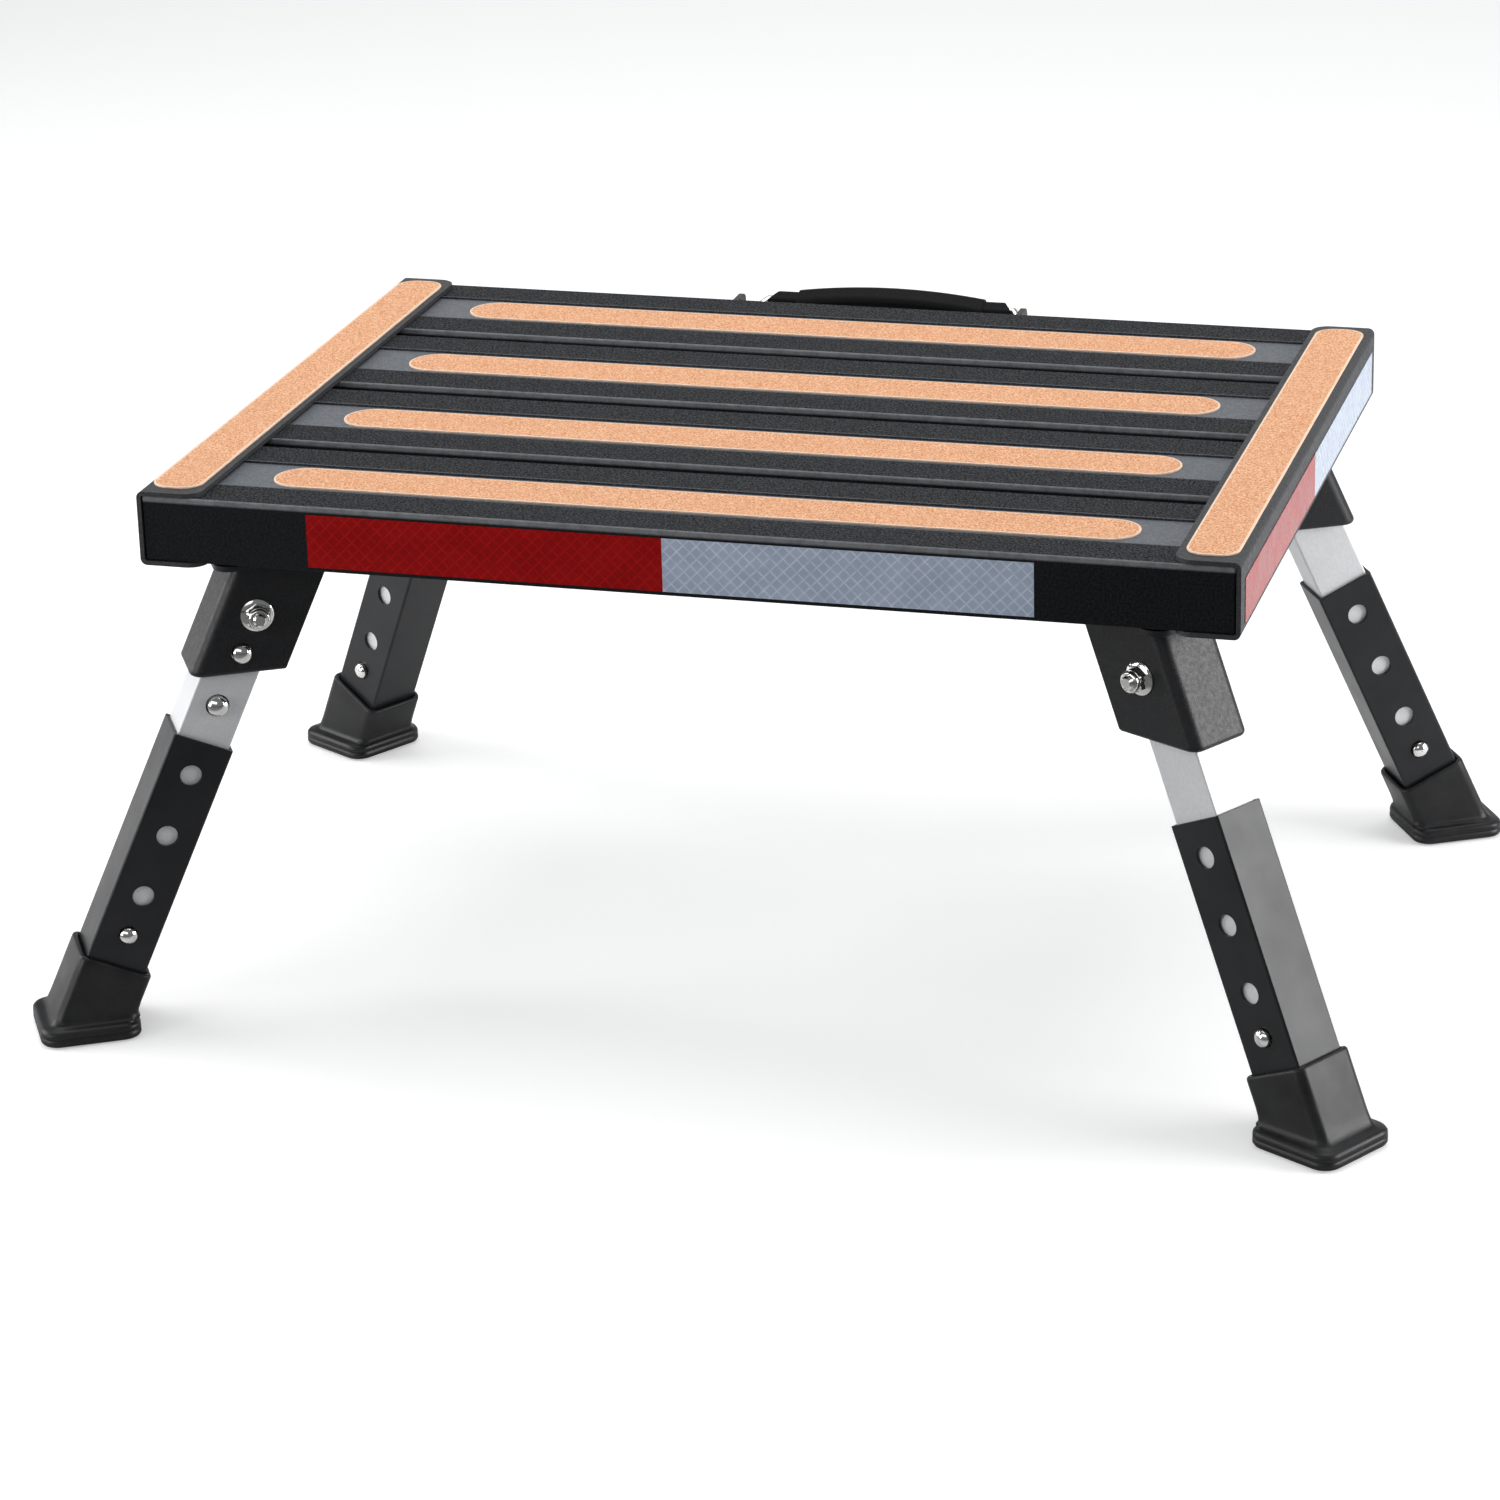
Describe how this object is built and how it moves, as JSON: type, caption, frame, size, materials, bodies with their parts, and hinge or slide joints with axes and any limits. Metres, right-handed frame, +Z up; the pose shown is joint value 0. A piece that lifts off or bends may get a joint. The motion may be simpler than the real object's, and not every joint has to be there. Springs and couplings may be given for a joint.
{
  "type": "tailgate step",
  "caption": "Free-standing four-plank step platform with fold-in, height-adjustable splayed legs, rubber feet, grip strips, reflective tape and a swing carry handle.",
  "frame": {"origin": "on the ground under the centre of the platform, with the legs unfolded at their shortest setting", "axes": "+X along the platform to the right, +Y towards the carry handle at the rear, +Z up"},
  "size_m": [0.6144, 0.4222, 0.2528],
  "materials": {
    "dark_powder_coat": "fine-textured dark powder coat on extruded aluminium",
    "orange_abrasive": "gritty orange anti-slip tape",
    "red_tape": "prismatic retro-reflective tape",
    "white_tape": "prismatic retro-reflective tape",
    "black_steel": "matte black coated steel",
    "silver_tube": "satin drawn aluminium",
    "black_anodised": "satin black coating on drawn aluminium tube",
    "black_rubber": "matte moulded rubber",
    "black_plastic": "fine-grained moulding",
    "plated_steel": "bright nickel plating",
    "nylon": "plain"
  },
  "bodies": {
    "platform": {"deck_plank_front": "dark_powder_coat", "plank_grip_front": "orange_abrasive", "deck_plank_mid_front": "dark_powder_coat", "plank_grip_mid_front": "orange_abrasive", "deck_plank_mid_rear": "dark_powder_coat", "plank_grip_mid_rear": "orange_abrasive", "deck_plank_rear": "dark_powder_coat", "plank_grip_rear": "orange_abrasive", "end_channel_left": "dark_powder_coat", "end_grip_left": "orange_abrasive", "end_channel_right": "dark_powder_coat", "end_grip_right": "orange_abrasive", "reflectors_red": "red_tape", "reflectors_white": "white_tape", "leg_stop_pads": "black_rubber", "channel_rivets": "black_steel", "leg_bracket_front_left": "black_steel", "leg_bracket_front_right": "black_steel", "leg_bracket_rear_left": "black_steel", "leg_bracket_rear_right": "black_steel", "pivot_bolts": "plated_steel", "pivot_nuts": "plated_steel", "pivot_washers": "nylon", "bracket_rivets": "black_steel", "bracket_shims": "black_steel", "handle_brackets": "black_steel", "handle_screws": "plated_steel"},
    "handle": {"handle_bail": "plated_steel", "handle_grip": "black_plastic"},
    "leg_front_left": {"inner_tube_front_left": "silver_tube"},
    "lower_leg_front_left": {"sleeve_front_left": "black_anodised", "foot_front_left": "black_rubber"},
    "fold_lock_front_left": {"fold_lock_button_front_left": "plated_steel"},
    "height_lock_front_left": {"height_button_front_left": "plated_steel"},
    "snap_a_front_left": {"snap_button_a_front_left": "plated_steel"},
    "snap_b_front_left": {"snap_button_b_front_left": "plated_steel"},
    "leg_front_right": {"inner_tube_front_right": "silver_tube"},
    "lower_leg_front_right": {"sleeve_front_right": "black_anodised", "foot_front_right": "black_rubber"},
    "fold_lock_front_right": {"fold_lock_button_front_right": "plated_steel"},
    "height_lock_front_right": {"height_button_front_right": "plated_steel"},
    "snap_a_front_right": {"snap_button_a_front_right": "plated_steel"},
    "snap_b_front_right": {"snap_button_b_front_right": "plated_steel"},
    "leg_rear_left": {"inner_tube_rear_left": "silver_tube"},
    "lower_leg_rear_left": {"sleeve_rear_left": "black_anodised", "foot_rear_left": "black_rubber"},
    "fold_lock_rear_left": {"fold_lock_button_rear_left": "plated_steel"},
    "height_lock_rear_left": {"height_button_rear_left": "plated_steel"},
    "snap_a_rear_left": {"snap_button_a_rear_left": "plated_steel"},
    "snap_b_rear_left": {"snap_button_b_rear_left": "plated_steel"},
    "leg_rear_right": {"inner_tube_rear_right": "silver_tube"},
    "lower_leg_rear_right": {"sleeve_rear_right": "black_anodised", "foot_rear_right": "black_rubber"},
    "fold_lock_rear_right": {"fold_lock_button_rear_right": "plated_steel"},
    "height_lock_rear_right": {"height_button_rear_right": "plated_steel"},
    "snap_a_rear_right": {"snap_button_a_rear_right": "plated_steel"},
    "snap_b_rear_right": {"snap_button_b_rear_right": "plated_steel"}
  },
  "joints": [
    {"name": "handle_hinge", "type": "hinge", "parent": "platform", "child": "handle", "pos_m": [0, 0.181, 0.2335], "axis": [-1, 0, 0], "range_deg": [0, 100]},
    {"name": "leg_fold_front_left", "type": "hinge", "parent": "platform", "child": "leg_front_left", "pos_m": [-0.205, -0.14, 0.1925], "axis": [0.5, -0.866, 0], "range_deg": [0, 112]},
    {"name": "height_slide_front_left", "type": "slide", "parent": "leg_front_left", "child": "lower_leg_front_left", "axis": [0.3591, 0.2073, 0.91], "range_m": [-0.0795, 0]},
    {"name": "fold_lock_press_front_left", "type": "slide", "parent": "platform", "child": "fold_lock_front_left", "axis": [-0.5, 0.866, 0], "range_m": [0, 0.0012], "stiffness_N_per_m": 400},
    {"name": "height_button_press_front_left", "type": "slide", "parent": "leg_front_left", "child": "height_lock_front_left", "axis": [-0.5, 0.866, 0], "range_m": [0, 0.0035], "stiffness_N_per_m": 400},
    {"name": "snap_button_a_press_front_left", "type": "slide", "parent": "lower_leg_front_left", "child": "snap_a_front_left", "axis": [-0.5, 0.866, 0], "range_m": [0, 0.003], "stiffness_N_per_m": 400},
    {"name": "snap_button_b_press_front_left", "type": "slide", "parent": "lower_leg_front_left", "child": "snap_b_front_left", "axis": [0.5, -0.866, 0], "range_m": [0, 0.003], "stiffness_N_per_m": 400},
    {"name": "leg_fold_front_right", "type": "hinge", "parent": "platform", "child": "leg_front_right", "pos_m": [0.205, -0.14, 0.1925], "axis": [0.5, 0.866, 0], "range_deg": [0, 112]},
    {"name": "height_slide_front_right", "type": "slide", "parent": "leg_front_right", "child": "lower_leg_front_right", "axis": [-0.3591, 0.2073, 0.91], "range_m": [-0.0795, 0]},
    {"name": "fold_lock_press_front_right", "type": "slide", "parent": "platform", "child": "fold_lock_front_right", "axis": [-0.5, -0.866, 0], "range_m": [0, 0.0012], "stiffness_N_per_m": 400},
    {"name": "height_button_press_front_right", "type": "slide", "parent": "leg_front_right", "child": "height_lock_front_right", "axis": [-0.5, -0.866, 0], "range_m": [0, 0.0035], "stiffness_N_per_m": 400},
    {"name": "snap_button_a_press_front_right", "type": "slide", "parent": "lower_leg_front_right", "child": "snap_a_front_right", "axis": [-0.5, -0.866, 0], "range_m": [0, 0.003], "stiffness_N_per_m": 400},
    {"name": "snap_button_b_press_front_right", "type": "slide", "parent": "lower_leg_front_right", "child": "snap_b_front_right", "axis": [0.5, 0.866, 0], "range_m": [0, 0.003], "stiffness_N_per_m": 400},
    {"name": "leg_fold_rear_left", "type": "hinge", "parent": "platform", "child": "leg_rear_left", "pos_m": [-0.205, 0.14, 0.1925], "axis": [-0.5, -0.866, 0], "range_deg": [0, 112]},
    {"name": "height_slide_rear_left", "type": "slide", "parent": "leg_rear_left", "child": "lower_leg_rear_left", "axis": [0.3591, -0.2073, 0.91], "range_m": [-0.0795, 0]},
    {"name": "fold_lock_press_rear_left", "type": "slide", "parent": "platform", "child": "fold_lock_rear_left", "axis": [0.5, 0.866, 0], "range_m": [0, 0.0012], "stiffness_N_per_m": 400},
    {"name": "height_button_press_rear_left", "type": "slide", "parent": "leg_rear_left", "child": "height_lock_rear_left", "axis": [0.5, 0.866, 0], "range_m": [0, 0.0035], "stiffness_N_per_m": 400},
    {"name": "snap_button_a_press_rear_left", "type": "slide", "parent": "lower_leg_rear_left", "child": "snap_a_rear_left", "axis": [0.5, 0.866, 0], "range_m": [0, 0.003], "stiffness_N_per_m": 400},
    {"name": "snap_button_b_press_rear_left", "type": "slide", "parent": "lower_leg_rear_left", "child": "snap_b_rear_left", "axis": [-0.5, -0.866, 0], "range_m": [0, 0.003], "stiffness_N_per_m": 400},
    {"name": "leg_fold_rear_right", "type": "hinge", "parent": "platform", "child": "leg_rear_right", "pos_m": [0.205, 0.14, 0.1925], "axis": [-0.5, 0.866, 0], "range_deg": [0, 112]},
    {"name": "height_slide_rear_right", "type": "slide", "parent": "leg_rear_right", "child": "lower_leg_rear_right", "axis": [-0.3591, -0.2073, 0.91], "range_m": [-0.0795, 0]},
    {"name": "fold_lock_press_rear_right", "type": "slide", "parent": "platform", "child": "fold_lock_rear_right", "axis": [0.5, -0.866, 0], "range_m": [0, 0.0012], "stiffness_N_per_m": 400},
    {"name": "height_button_press_rear_right", "type": "slide", "parent": "leg_rear_right", "child": "height_lock_rear_right", "axis": [0.5, -0.866, 0], "range_m": [0, 0.0035], "stiffness_N_per_m": 400},
    {"name": "snap_button_a_press_rear_right", "type": "slide", "parent": "lower_leg_rear_right", "child": "snap_a_rear_right", "axis": [0.5, -0.866, 0], "range_m": [0, 0.003], "stiffness_N_per_m": 400},
    {"name": "snap_button_b_press_rear_right", "type": "slide", "parent": "lower_leg_rear_right", "child": "snap_b_rear_right", "axis": [-0.5, 0.866, 0], "range_m": [0, 0.003], "stiffness_N_per_m": 400}
  ]
}
